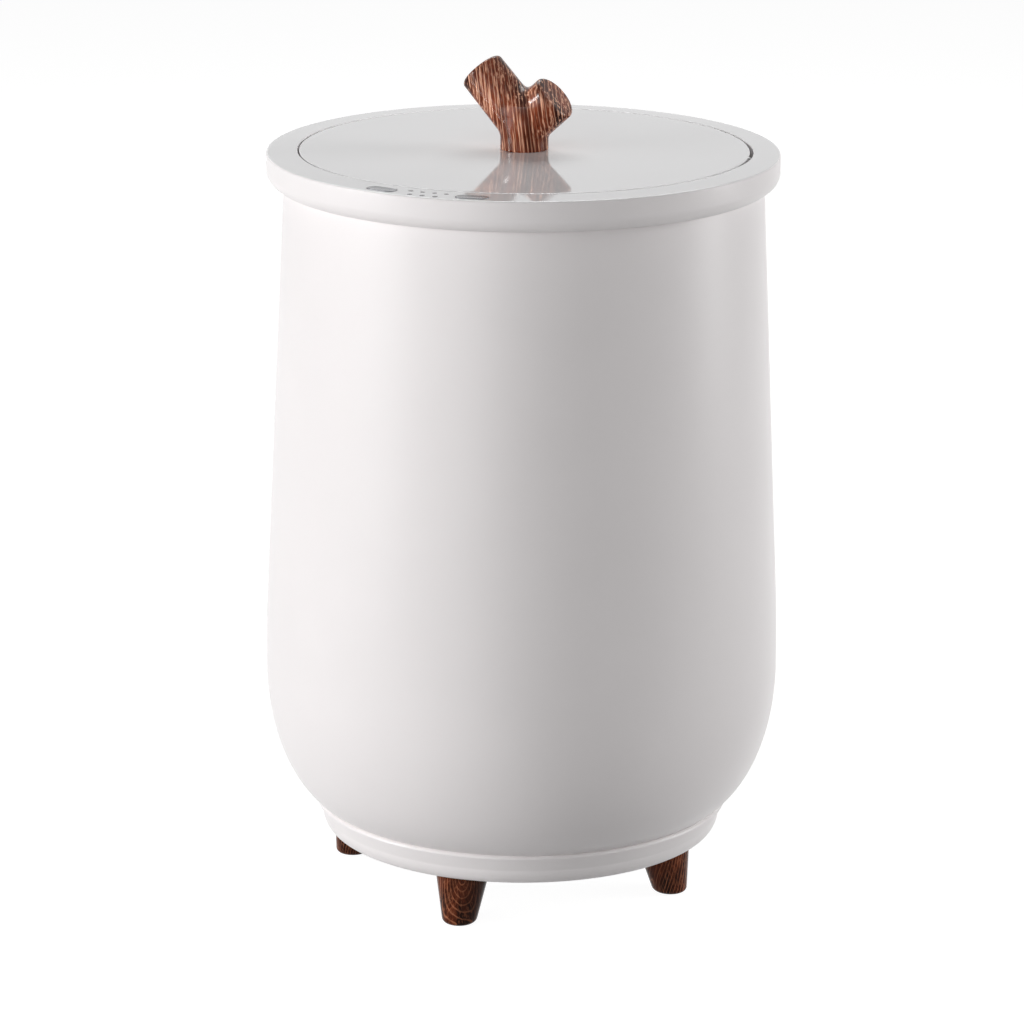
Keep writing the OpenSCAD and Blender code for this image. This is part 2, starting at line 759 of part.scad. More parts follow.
module ring_cavity() {
    under = [skirt_inner_r, ring_bottom + skirt_round_h];
    rotate_extrude($fn = 160) polygon(concat(
        [[mouth_r - 14, ring_bottom + ring_wall]],
        arc(under, skirt_round_w - ring_wall, skirt_round_h - ring_wall, -90, 0, 10),
        [[ring_r - ring_wall, band_under], [mouth_r - 14, band_under]]));
}

module at_buttons(z) {
    for (s = [-1, 1]) at(panel_angle + s * button_angle, button_r, z) children();
}

module at_lenses(z) {
    for (i = [0 : lens_columns - 1], s = [-1, 1])
        if (i < lens_columns - 1 || s < 0) {
            turn = lens_angles[i] * lens_step + (s > 0 ? lens_turn : 0);
            at(panel_angle + turn, button_r + s * lens_rows / 2, z) children();
        }
}

module at_board_bosses(z) {
    for (s = [-1, 1]) at(panel_angle + s * board_boss_angle, (board_in_r + board_out_r) / 2, z) children();
}

module top_ring() {
    relief_at = lid_hole_r + relief_depth - relief_cut_r;
    color("whitesmoke") difference() {
        union() {
            translate([0, -ring_shift, 0]) difference() {
                ring_outside();
                ring_cavity();
            }
            translate([0, 0, shell_top]) cylinder(r = lid_hole_r + collar_t, h = band_under - shell_top + 1);
            translate([0, 0, shell_top]) cylinder(r = shell_top_r, h = seat_t);
            at_board_bosses(board_top) cylinder(r = board_boss_r, h = board_drop + 1);
        }
        translate([0, 0, ring_bottom - 5]) cylinder(r = shell_clear_r, h = ring_skirt + 5, $fn = 160);
        translate([0, 0, ring_bottom - 5]) cylinder(r = mouth_r, h = ring_skirt + ring_rise + 10, $fn = 128);
        translate([0, 0, seat_z]) cylinder(r = lid_hole_r, h = ring_rise, $fn = 160);
        at(relief_angle, relief_at, seat_z) cylinder(r = relief_cut_r, h = ring_rise, $fn = 160);
        at_buttons(band_under - 1)
            linear_extrude(ring_wall + 4) oval(button_l + 2 * button_clear, button_w + 2 * button_clear);
        at_lenses(band_under - 1) cylinder(r = lens_r + lens_clear, h = ring_wall + 4, $fn = 32);
        at_board_bosses(board_top - 1) cylinder(r = board_screw_r + close_fit, h = board_drop + 1, $fn = 32);
    }
}

// Controls under the ring's band

module band_plate(r_in, r_out, span, z, h) {
    rotate([0, 0, panel_angle - span / 2]) rotate_extrude(angle = span, $fn = 160)
        translate([r_in, z]) square([r_out - r_in, h]);
}

module control_board() {
    color("darkgreen") difference() {
        band_plate(board_in_r, board_out_r, board_angle, board_top - board_t, board_t);
        at_board_bosses(board_top - board_t - 1)
            cylinder(r = board_screw_r + close_fit, h = board_t + 2, $fn = 32);
    }
}

module control_board_screws() {
    color("silver") at_board_bosses(board_top - board_t) {
        translate([0, 0, -board_screw_head_t])
            cylinder(r = board_screw_r * 1.8, h = board_screw_head_t, $fn = 32);
        translate([0, 0, -0.5]) cylinder(r = board_screw_r, h = board_t + board_drop - 0.5, $fn = 32);
    }
}

module tact_switches() {
    color("black") at_buttons(board_top) {
        translate([-switch_w / 2, -switch_w / 2, 0]) cube([switch_w, switch_w, switch_h]);
        cylinder(r = plunger_r, h = switch_h + plunger_h, $fn = 32);
    }
}

module indicator_leds() {
    color("lightgreen") at_lenses(board_top)
        translate([-led_w / 2, -led_w / 2, 0]) cube([led_w, led_w, led_h]);
}

module indicator_lens() {
    half_w = lens_rows / 2 + lens_r + lens_foot_lip;
    window_h = ring_wall - ring_fall / 2 - lens_recess;
    color("lightgray") {
        band_plate(button_r - half_w, button_r + half_w, 2 * lens_half_span,
            band_under - lens_foot_t, lens_foot_t);
        at_lenses(band_under - eps) cylinder(r = lens_r, h = window_h + eps, $fn = 32);
    }
}

module button(side) {
    color("darkgray") at(panel_angle + side * button_angle, button_r, 0) {
        translate([0, 0, band_under - button_foot_t]) linear_extrude(button_foot_t)
            oval(button_l + 2 * button_foot_lip, button_w + 2 * button_foot_lip);
        translate([0, 0, band_under - 0.5]) linear_extrude(ring_wall + 0.5 - ring_fall / 2 + button_proud)
            oval(button_l, button_w);
    }
}

module button_power() button(-1);
module button_timer() button(1);

module control_cable() {
    color("black") wire(cable_route, cable_r, cable_bend);
}

module heater_lead() {
    color("firebrick") wire(heater_route, lead_r, cable_bend, side = [0, 1, 0]);
}

// Lid

module lid_panel() {
    edge = [lid_r - lid_edge_r, ring_top - lid_edge_r];
    color("whitesmoke") difference() {
        union() {
            rotate_extrude($fn = 160) polygon(concat(
                [[0, ring_top - lid_t], [lid_r - lid_skirt_t, ring_top - lid_t],
                 [lid_r - lid_skirt_t, lid_z], [lid_r, lid_z]],
                arc(edge, lid_edge_r, lid_edge_r, 0, 90, 5),
                [[0, ring_top]]));
            at(relief_angle - 3, lid_r + (key_reach - 1) / 2, (lid_z + ring_top - 1) / 2)
                cube([key_reach + 1, key_w, ring_top - lid_z - 1], center = true);
        }
        translate([0, 0, ring_top - lid_t - 1]) cylinder(r = handle_bore_r, h = lid_t + 2);
    }
}

module lid_pan() {
    flange_r = lid_r - lid_skirt_t - pan_flange_gap;
    c = pan_chamfer;
    w = pan_wall;
    color("silver") rotate_extrude($fn = 128) polygon([
        [0, pan_floor], [pan_r - c, pan_floor], [pan_r, pan_floor + c], [pan_r, lid_z],
        [flange_r, lid_z], [flange_r, lid_z + w], [pan_r - w, lid_z + w],
        [pan_r - w, pan_floor + c + w / 2], [pan_r - c - w / 2, pan_floor + w], [0, pan_floor + w]]);
}

module lid_insulation() {
    z = pan_floor + pan_wall;
    color("khaki") ring_solid(washer_r + 4, pan_r - pan_chamfer - 2, z, ring_top - lid_t - z);
}

module lid_seal() {
    color("dimgray") ring_solid(mouth_r + seal_in, lid_r - seal_out, seat_z, seal_t);
}

module branch(lean, turn, end_r, l) {
    e = branch_edge_r;
    translate([0, 0, fork_z]) rotate([0, lean, turn]) rotate_extrude($fn = 64)
        polygon(concat([[0, 0], [stem_r, 0]], arc([end_r - e, l - e], e, e, 0, 90, 6), [[0, l]]));
}

module handle() {
    color("saddlebrown") translate([0, 0, ring_top]) difference() {
        union() {
            cylinder(r = stem_r, h = fork_z, $fn = 64);
            translate([0, 0, fork_z]) sphere(r = stem_r + fork_swell, $fn = 64);
            branch(long_lean, long_turn, long_end_r, long_l);
            branch(short_lean, short_turn, stem_r, short_l);
        }
        translate([0, 0, -1]) cylinder(r = handle_bore_r, h = handle_screw_l + 1, $fn = 32);
    }
}

module handle_washer() {
    color("silver") ring_solid(handle_bore_r, washer_r, ring_top - lid_t - washer_t, washer_t);
}

module handle_screw() {
    under = ring_top - lid_t - washer_t;
    color("silver") {
        translate([0, 0, under - handle_screw_head_t])
            cylinder(r = handle_screw_head_r, h = handle_screw_head_t);
        translate([0, 0, under - 1])
            cylinder(r = handle_screw_d / 2, h = handle_screw_l + lid_t + washer_t - 1);
    }
}

leg_front();
leg_right();
leg_back();
leg_left();
leg_bolts();
plinth_tray();
service_plate();
service_plate_screws();
cord_gland();
power_board();
power_parts();
terminal_block();
power_board_screws();
outer_shell();
shell_screws();
carrier_posts();
carrier_plate();
insulation_pad();
base_heater();
thermostat();
thermal_fuse();
inner_bucket();
side_heating_film();
insulation_sleeve();
bucket_gasket();
top_ring();
control_board();
control_board_screws();
tact_switches();
indicator_leds();
indicator_lens();
button_power();
button_timer();
control_cable();
heater_lead();
lid_panel();
lid_pan();
lid_insulation();
lid_seal();
handle();
handle_screw();
handle_washer();
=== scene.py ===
import math

import bpy
import bmesh
import numpy as np
from mathutils import Matrix, Vector


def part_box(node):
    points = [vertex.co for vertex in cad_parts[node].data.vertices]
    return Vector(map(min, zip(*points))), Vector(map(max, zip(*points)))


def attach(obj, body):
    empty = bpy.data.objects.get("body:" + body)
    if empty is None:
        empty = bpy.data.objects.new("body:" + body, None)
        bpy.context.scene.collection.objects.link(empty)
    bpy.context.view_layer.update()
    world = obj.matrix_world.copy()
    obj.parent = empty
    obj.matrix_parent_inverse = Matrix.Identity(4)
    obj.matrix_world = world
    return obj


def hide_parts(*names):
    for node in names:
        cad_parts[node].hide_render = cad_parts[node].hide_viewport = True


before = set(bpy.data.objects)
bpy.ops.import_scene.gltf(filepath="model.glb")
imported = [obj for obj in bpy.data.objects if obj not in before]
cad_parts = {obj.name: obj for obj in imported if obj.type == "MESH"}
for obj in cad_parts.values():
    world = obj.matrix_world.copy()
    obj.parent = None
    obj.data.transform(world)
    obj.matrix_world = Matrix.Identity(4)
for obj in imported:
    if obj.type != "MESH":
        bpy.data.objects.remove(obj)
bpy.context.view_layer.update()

# Looks for the towel warmer bucket. Metres, +Z up, origin on the floor under the barrel's axis.

MM = 0.001


# Sizes in millimetres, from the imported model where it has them

def low(node):
    """Lowest corner of the node's box at rest."""
    return [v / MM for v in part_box(node)[0]]


def high(node):
    """Highest corner of the node's box at rest."""
    return [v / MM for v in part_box(node)[1]]


LEG_H = low("plinth_tray")[2]
TRAY_TOP = low("outer_shell")[2]
SHELL_TOP = high("outer_shell")[2]
SHELL_R = high("outer_shell")[0]
RING_TOP = high("top_ring")[2]
RING_BOTTOM = low("top_ring")[2]
RING_R = high("top_ring")[0]
RING_SHIFT = -(low("top_ring")[1] + high("top_ring")[1]) / 2
LID_R = high("lid_seal")[0] + 1
LID_BOTTOM = low("lid_panel")[2]
TRAY_TOP_R = high("plinth_tray")[0]
HANDLE_TOP = high("handle")[2]
LEDGE_TOP = high("inner_bucket")[2] - 1

LEG_BOTTOM_R = 21.5 / 2
LEG_TOP_R = 36 / 2
LEG_SPLAY = math.radians(9.5)
LEG_EDGE = 3
FOOT_R = 105
LEFT_FOOT_R = 116
LEG_ANGLES = {"leg_front": -90, "leg_right": 0, "leg_back": 90, "leg_left": 186}

TRAY_BOTTOM_R = 129.5
TRAY_EDGE_W = 5.5
TRAY_EDGE_H = 10
TRAY_RIM = 2
TRAY_WALL = 3
TRAY_FLOOR_T = 4
DECK_T = 3
PLATE_HOLE_R = 68
PLATE_R = 76.3
PLATE_T = 2
COLUMN_RING_R = 120.5
COLUMN_R = 5
COLUMN_INSET = 2
RECESS_R = 3.8
RECESS_DEPTH = 14
GLAND_Z = 46.75
GLAND_FACE = 129.75
GLAND_R = 5.95
GLAND_FLANGE_R = 8.35

SHELL_FOOT_R = TRAY_TOP_R - 2.2
SHELL_FLOOR_R = SHELL_FOOT_R - 17
SHELL_TOP_R = 150.9
SHELL_WALL = 3
BELLY_RISE = 88
BELLY_B = 93
KNEE_RISE = 27
KNEE_T = 27
LEDGE_R = 134
LEDGE_T = 4

RING_WALL = 2.6
RING_EDGE = 1.5
RING_FALL = 0.6
RING_GAP = 0.3
SKIRT_H = 9
SKIRT_W = 10
HOLE_R = 142.4
HOLE_EDGE = 0.7
COLLAR_T = 4
SEAT_Z = SHELL_TOP + 3
MOUTH_R = 131
RELIEF_R = 120
RELIEF_DEPTH = 1.4
RELIEF_ANGLE = math.radians(15)

BUTTON_X = (low("button_timer")[0] + high("button_timer")[0]) / 2
BUTTON_Y = (low("button_timer")[1] + high("button_timer")[1]) / 2
BUTTON_R = math.hypot(BUTTON_X, BUTTON_Y)
PANEL_ANGLE = math.radians(-91)
BUTTON_ANGLE = math.atan2(BUTTON_Y, BUTTON_X) - PANEL_ANGLE
BUTTON_L = 20.5
BUTTON_W = 9.5
BUTTON_GAP = 0.25
BUTTON_PROUD = 0.3
BUTTON_EDGE = 0.5
BUTTON_FOOT_T = 1.5
BUTTON_LIP = 1.2
BUTTON_DISH = ((1.4, 0.02), (2.6, 0.1), (3.8, 0.16), (4.6, 0.18))
LENS_R = 1.6
LENS_GAP = 0.1
LENS_ROWS = 8
LENS_STEP = math.radians(3)
LENS_TURN = math.radians(1.2)
LENS_COLUMNS = (-1.4, -0.4, 0.6, 1.55)
CUT_PAST = 2

LID_T = 3
LID_EDGE = 0.8
LID_SKIRT = 2.4
LID_BORE = 2.6
KEY_W = 2
KEY_REACH = 1.5
KEY_INSET = 0.5
KEY_ANGLE = math.radians(12)

STEM_R = 15.2
FORK_Z = 15.2
LONG_LEAN = math.radians(44.6)
LONG_TURN = math.radians(172)
LONG_END_R = 14.7
SHORT_LEAN = math.radians(47.5)
SHORT_TURN = math.radians(-2)
SHORT_L = 29
BRANCH_EDGE = 2.5
FORK_BLEND = 2
VALLEY_BLEND = 8
VALLEY_FROM = 6
VALLEY_RISE = 8
FOOT_EDGE = 0.5
HANDLE_CORNER = (-46, -22, -2)
HANDLE_EXTENT = (92, 44, 63)
HANDLE_STEP = 0.7


# Mesh building

def arc(centre, rx, rz, start, end, steps):
    """Points of an ellipse's arc in the (r, z) plane, angles in degrees."""
    turns = [math.radians(start + (end - start) * i / steps) for i in range(steps + 1)]
    return [(centre[0] + rx * math.cos(t), centre[1] + rz * math.sin(t)) for t in turns]


def finish_mesh(name, verts, faces, sharp=35):
    """An object from points in millimetres, welded, closed outwards and smooth below the sharp angle."""
    mesh = bpy.data.meshes.new(name)
    mesh.from_pydata([tuple(float(v) * MM for v in p) for p in verts], [], faces)
    bm = bmesh.new()
    bm.from_mesh(mesh)
    bmesh.ops.remove_doubles(bm, verts=bm.verts, dist=2e-7)
    bmesh.ops.dissolve_degenerate(bm, edges=bm.edges, dist=1e-8)
    bmesh.ops.recalc_face_normals(bm, faces=bm.faces)
    bm.to_mesh(mesh)
    bm.free()
    smooth(mesh, sharp)
    piece = bpy.data.objects.new(name, mesh)
    bpy.context.scene.collection.objects.link(piece)
    return piece


def smooth(mesh, sharp):
    mesh.polygons.foreach_set("use_smooth", [True] * len(mesh.polygons))
    mesh.set_sharp_from_angle(angle=math.radians(sharp))


def loft(name, rows, caps=False, sharp=35):
    """Skin over closed outlines of equal length: joined last to first, or capped at both ends."""
    count, size = len(rows), len(rows[0])
    verts = [p for row in rows for p in row]
    last = count - 1 if caps else count
    faces = [(i * size + j, i * size + (j + 1) % size,
              (i + 1) % count * size + (j + 1) % size, (i + 1) % count * size + j)
             for i in range(last) for j in range(size)]
    if caps:
        faces.append(tuple(range(size)))
        faces.append(tuple(range((count - 1) * size, count * size)))
    return finish_mesh(name, verts, faces, sharp)


def turned(name, profile_at, segments=256, sharp=35):
    """Body of revolution whose closed (r, z) outline may depend on the angle."""
    rows = []
    for i in range(segments):
        a = 2 * math.pi * i / segments
        rows.append([(r * math.cos(a), r * math.sin(a), z) for r, z in profile_at(a)])
    return loft(name, rows, sharp=sharp)


def spot(angle, r, z=0.0):
    """Transform to a place at that angle and radius, with local X pointing outwards."""
    return Matrix.Rotation(angle, 4, "Z") @ Matrix.Translation((r * MM, 0, z * MM))


def oval(inset, z, length=BUTTON_L, width=BUTTON_W, steps=24):
    """Stadium outline across the radius, drawn in by inset."""
    points = []
    for side in (1, -1):
        for i in range(steps + 1):
            t = math.pi * i / steps + (0 if side > 0 else math.pi)
            r = width / 2 - inset
            points.append((r * math.cos(t), side * (length - width) / 2 + r * math.sin(t), z))
    return points


def carve(piece, added=(), cutters=(), sharp=35):
    """Joins the added solids to the piece and takes the cutters out of it, for good."""
    steps = [("UNION", tool) for tool in added] + [("DIFFERENCE", tool) for tool in cutters]
    for operation, tool in steps:
        m = piece.modifiers.new("carve", "BOOLEAN")
        m.operation = operation
        m.solver = "EXACT"
        m.object = tool
    bpy.context.view_layer.update()
    mesh = bpy.data.meshes.new_from_object(piece.evaluated_get(bpy.context.evaluated_depsgraph_get()))
    piece.modifiers.clear()
    piece.data = mesh
    smooth(mesh, sharp)
    for _, tool in steps:
        bpy.data.objects.remove(tool)
    return piece


def rod(name, r, bottom, top, steps=48):
    """Upright round rod in its own frame, for cutting."""
    turns = [2 * math.pi * i / steps for i in range(steps)]
    rows = [[(r * math.cos(t), r * math.sin(t), z) for t in turns] for z in (bottom, top)]
    return loft(name, rows, caps=True)


def put(piece, transform):
    piece.data.transform(transform)
    return piece


# Pieces

def leg(node):
    angle = math.radians(LEG_ANGLES[node])
    foot_r = LEFT_FOOT_R if node == "leg_left" else FOOT_R
    growth = (LEG_TOP_R - LEG_BOTTOM_R) / (LEG_H / math.cos(LEG_SPLAY))
    around = 96
    rounding = 8
    heights = [LEG_EDGE * (1 - math.cos(math.pi / 2 * i / rounding)) for i in range(rounding + 1)]
    heights += [LEG_EDGE + (LEG_H - LEG_EDGE) * i / 6 for i in range(1, 7)]
    rows = []
    for h in heights:
        under = max(LEG_EDGE - h, 0)
        inset = LEG_EDGE - math.sqrt(LEG_EDGE ** 2 - under ** 2)
        row = []
        for j in range(around):
            turn = 2 * math.pi * j / around
            c = math.cos(turn) * math.sin(LEG_SPLAY)
            s = (h - LEG_BOTTOM_R * c) / (math.cos(LEG_SPLAY) + growth * c)
            r = LEG_BOTTOM_R + growth * s - inset
            x = foot_r + r * math.cos(turn) * math.cos(LEG_SPLAY) - s * math.sin(LEG_SPLAY)
            row.append((x, r * math.sin(turn), h))
        rows.append(row)
    return put(loft(node + "_wood", rows, caps=True, sharp=50), Matrix.Rotation(angle, 4, "Z"))


def plinth():
    profile = [(PLATE_HOLE_R, LEG_H + PLATE_T), (PLATE_R, LEG_H + PLATE_T), (PLATE_R, LEG_H)]
    profile += arc((TRAY_BOTTOM_R - TRAY_EDGE_W, LEG_H + TRAY_EDGE_H), TRAY_EDGE_W, TRAY_EDGE_H, -90, 0, 16)
    profile += arc((TRAY_TOP_R - TRAY_RIM, TRAY_TOP - TRAY_RIM), TRAY_RIM, TRAY_RIM, 0, 90, 10)
    profile += [(SHELL_FLOOR_R, TRAY_TOP), (SHELL_FLOOR_R, TRAY_TOP - DECK_T)]
    profile += [(TRAY_TOP_R - TRAY_WALL - 1, TRAY_TOP - DECK_T)]
    profile += [(TRAY_BOTTOM_R - TRAY_WALL, LEG_H + TRAY_EDGE_H)]
    profile += [(TRAY_BOTTOM_R - TRAY_WALL - TRAY_EDGE_W / 2, LEG_H + TRAY_FLOOR_T)]
    profile += [(PLATE_HOLE_R, LEG_H + TRAY_FLOOR_T)]
    piece = turned("plinth", lambda a: profile)
    columns, recesses = [], []
    for i in range(4):
        place = spot(math.radians(45 + 90 * i), COLUMN_RING_R)
        columns.append(put(rod("column", COLUMN_R, LEG_H + COLUMN_INSET, TRAY_TOP - COLUMN_INSET), place))
        recesses.append(put(rod("recess", RECESS_R, LEG_H - 1, LEG_H + RECESS_DEPTH), place))
    level = Matrix.Translation((0, GLAND_FACE * MM, GLAND_Z * MM))
    level = level @ Matrix.Rotation(math.radians(-90), 4, "X")
    recesses.append(put(rod("gland_seat", GLAND_FLANGE_R, 0, 12), level))
    recesses.append(put(rod("gland_bore", GLAND_R, -12, 1), level))
    return carve(piece, columns, recesses)


def shell_radius(z):
    """Outside of the barrel: an elliptic belly, a soft knee and a straight taper."""
    belly_z = TRAY_TOP + BELLY_RISE
    knee_z = belly_z + KNEE_RISE
    taper = (SHELL_R - SHELL_TOP_R) / (SHELL_TOP - knee_z)
    if z < belly_z:
        reach = (SHELL_R - SHELL_FOOT_R) / (1 - math.sqrt(1 - (BELLY_RISE / BELLY_B) ** 2))
        return SHELL_R - reach * (1 - math.sqrt(1 - ((belly_z - z) / BELLY_B) ** 2))
    if z < knee_z - KNEE_T:
        return SHELL_R
    if z < knee_z + KNEE_T:
        return SHELL_R - taper * KNEE_T * ((z - knee_z + KNEE_T) / (2 * KNEE_T)) ** 2
    return SHELL_R - taper * (z - knee_z)


def barrel():
    heights = [TRAY_TOP + (SHELL_TOP - TRAY_TOP) * i / 140 for i in range(141)]
    inner = [z for z in heights if TRAY_TOP + SHELL_WALL < z < LEDGE_TOP - LEDGE_T]
    profile = [(SHELL_FLOOR_R, TRAY_TOP)] + [(shell_radius(z), z) for z in heights]
    profile += [(SHELL_TOP_R - SHELL_WALL, SHELL_TOP), (SHELL_TOP_R - SHELL_WALL, LEDGE_TOP)]
    profile += [(LEDGE_R, LEDGE_TOP), (LEDGE_R, LEDGE_TOP - LEDGE_T)]
    profile += [(shell_radius(z) - SHELL_WALL, z) for z in reversed(inner)]
    profile += [(SHELL_FLOOR_R, TRAY_TOP + SHELL_WALL)]
    return turned("barrel", lambda a: profile, segments=320)


def off_centre(rho, a):
    """Distance from the barrel's axis to a circle of radius rho around the ring's own centre."""
    return -RING_SHIFT * math.sin(a) + math.sqrt(rho ** 2 - (RING_SHIFT * math.cos(a)) ** 2)


def on_centre(r, a):
    """Distance from the ring's own centre to the point at radius r from the barrel's axis."""
    return math.hypot(r * math.cos(a), r * math.sin(a) + RING_SHIFT)


def hole_radius(a):
    """Edge of the lid's hole, with the shallow finger relief at its side."""
    centre = HOLE_R + RELIEF_DEPTH - RELIEF_R
    d = a - RELIEF_ANGLE
    reach = RELIEF_R ** 2 - (centre * math.sin(d)) ** 2
    relief = centre * math.cos(d) + math.sqrt(reach) if reach > 0 else 0
    return max(HOLE_R, relief)


def ring_profile(a):
    crown = (RING_R - RING_EDGE, RING_TOP - RING_FALL - RING_EDGE)
    under = (RING_R - SKIRT_W, RING_BOTTOM + SKIRT_H)
    clear = on_centre(shell_radius(RING_BOTTOM) + RING_GAP, a)
    fall_from = HOLE_R - RING_SHIFT
    slope = RING_FALL / (crown[0] - fall_from)

    def face_z(rho):
        return RING_TOP - slope * max(rho - fall_from, 0)

    def angle_at(w):
        return -90 if clear < under[0] else -math.degrees(math.acos(min((clear - under[0]) / w, 1)))

    hole = hole_radius(a)
    edge = (hole + HOLE_EDGE, face_z(on_centre(hole + HOLE_EDGE, a)) - HOLE_EDGE)
    inside = [(hole, SEAT_Z)] + arc(edge, HOLE_EDGE, HOLE_EDGE, 180, 90, 6)
    start = on_centre(hole + HOLE_EDGE, a)
    steps = (0.03, 0.15, 0.35, 0.5, 0.65, 0.85, 0.97)
    face = [start + (crown[0] - start) * t for t in steps]
    outside = [(rho, face_z(rho)) for rho in face]
    outside += arc(crown, RING_EDGE, RING_EDGE, 90, 0, 12)
    outside += arc(under, SKIRT_W, SKIRT_H, 0, angle_at(SKIRT_W), 18)
    low_z = max(outside[-1][1], RING_BOTTOM)
    inner_w = SKIRT_W - RING_WALL
    cavity = arc(under, inner_w, SKIRT_H - RING_WALL, angle_at(inner_w), 0, 12)
    roof = RING_TOP - RING_WALL
    outside += [(clear, low_z), (clear, max(cavity[0][1], low_z + 0.01))] + cavity
    outside += [(RING_R - RING_WALL, roof)]
    rest = [(HOLE_R + COLLAR_T, roof), (HOLE_R + COLLAR_T, SEAT_Z), (SHELL_TOP_R, SEAT_Z),
            (SHELL_TOP_R, SHELL_TOP), (MOUTH_R, SHELL_TOP), (MOUTH_R, SEAT_Z)]
    return inside + [(off_centre(rho, a), z) for rho, z in outside] + rest


def lens_places():
    for i, column in enumerate(LENS_COLUMNS):
        for side in (-1, 1):
            if i < len(LENS_COLUMNS) - 1 or side < 0:
                turn = LENS_TURN if side > 0 else 0
                yield PANEL_ANGLE + column * LENS_STEP + turn, BUTTON_R + side * LENS_ROWS / 2


def ring():
    piece = turned("rim", ring_profile, segments=480, sharp=40)
    bottom, top = RING_TOP - RING_WALL - CUT_PAST, RING_TOP + CUT_PAST
    cutters = []
    for side in (-1, 1):
        hole = loft("button_hole", [oval(-BUTTON_GAP, z) for z in (bottom, top)], caps=True)
        cutters.append(put(hole, spot(PANEL_ANGLE + side * BUTTON_ANGLE, BUTTON_R)))
    for angle, r in lens_places():
        cutters.append(put(rod("lens_hole", LENS_R + LENS_GAP, bottom, top), spot(angle, r)))
    return carve(piece, cutters=cutters, sharp=40)


def lid():
    edge = (LID_R - LID_EDGE, RING_TOP - LID_EDGE)
    profile = [(LID_BORE, RING_TOP - LID_T), (LID_R - LID_SKIRT, RING_TOP - LID_T)]
    profile += [(LID_R - LID_SKIRT, LID_BOTTOM), (LID_R, LID_BOTTOM)]
    profile += arc(edge, LID_EDGE, LID_EDGE, 0, 90, 8)
    profile += [(LID_R - 3, RING_TOP), (STEM_R + 2, RING_TOP), (LID_BORE, RING_TOP)]
    piece = turned("lid_top", lambda a: profile, segments=320, sharp=40)
    outline = ((-1, -KEY_W / 2), (KEY_REACH, -KEY_W / 2), (KEY_REACH, KEY_W / 2), (-1, KEY_W / 2))
    heights = (LID_BOTTOM + KEY_INSET, RING_TOP - KEY_INSET)
    key = loft("key", [[(x, y, z) for x, y in outline] for z in heights], caps=True)
    return carve(piece, [put(key, spot(KEY_ANGLE, LID_R))], sharp=40)


def button(name, side):
    roof = RING_TOP - RING_WALL
    top = RING_TOP - RING_FALL / 2 + BUTTON_PROUD
    rows = [oval(-BUTTON_LIP, roof - BUTTON_FOOT_T), oval(-BUTTON_LIP, roof), oval(0, roof)]
    rows += [oval(BUTTON_EDGE - x, z) for x, z in
             arc((0, top - BUTTON_EDGE), BUTTON_EDGE, BUTTON_EDGE, 0, 90, 6)]
    rows += [oval(inset, top - sink) for inset, sink in BUTTON_DISH]
    return put(loft(name, rows, caps=True, sharp=45), spot(PANEL_ANGLE + side * BUTTON_ANGLE, BUTTON_R))


# Handle: the surface of a smooth distance field

def distance_to_handle(p):
    """Signed distance to the forked handle, in millimetres above the lid."""
    x, y, z = p[..., 0], p[..., 1], p[..., 2]
    height = HANDLE_TOP - RING_TOP
    long_l = BRANCH_EDGE + (height - FORK_Z - BRANCH_EDGE
                            - (LONG_END_R - BRANCH_EDGE) * math.sin(LONG_LEAN)) / math.cos(LONG_LEAN)
    stem = np.maximum(np.hypot(x, y) - STEM_R, z - FORK_Z)
    knot = np.sqrt(x ** 2 + y ** 2 + (z - FORK_Z) ** 2) - STEM_R
    field = np.minimum(stem, knot)
    soft = FORK_BLEND + (VALLEY_BLEND - FORK_BLEND) * np.clip((z - FORK_Z - VALLEY_FROM) / VALLEY_RISE, 0, 1)
    for lean, turn, end_r, length in ((LONG_LEAN, LONG_TURN, LONG_END_R, long_l),
                                      (SHORT_LEAN, SHORT_TURN, STEM_R, SHORT_L)):
        field = blend_min(field, distance_to_branch(x, y, z - FORK_Z, lean, turn, end_r, length), soft)
    return -blend_min(-field, z, FOOT_EDGE)


def distance_to_branch(x, y, z, lean, turn, end_r, length):
    """Signed distance to one branch from the fork's centre, tapered to end_r and rounded at its end."""
    dx, dy, dz = math.sin(lean) * math.cos(turn), math.sin(lean) * math.sin(turn), math.cos(lean)
    along = x * dx + y * dy + z * dz
    off = np.sqrt(np.maximum(x ** 2 + y ** 2 + z ** 2 - along ** 2, 0))
    tilt = math.atan2(STEM_R - end_r, length)
    side = (off - STEM_R + (STEM_R - end_r) * np.maximum(along, 0) / length) * math.cos(tilt)
    a = side + BRANCH_EDGE
    b = along - length + BRANCH_EDGE
    rounded = np.minimum(np.maximum(a, b), 0) + np.hypot(np.maximum(a, 0), np.maximum(b, 0)) - BRANCH_EDGE
    return np.where(along < 0, np.hypot(off, along) - STEM_R, rounded)


def blend_min(a, b, k):
    """The lesser of two distances, with a soft join about k wide."""
    h = np.clip(0.5 + 0.5 * (b - a) / k, 0, 1)
    return b * (1 - h) + a * h - k * h * (1 - h)


def field_gradient(field, points, step=0.05):
    axes = np.eye(3) * step
    return np.stack([field(points + e) - field(points - e) for e in axes], -1) / (2 * step)


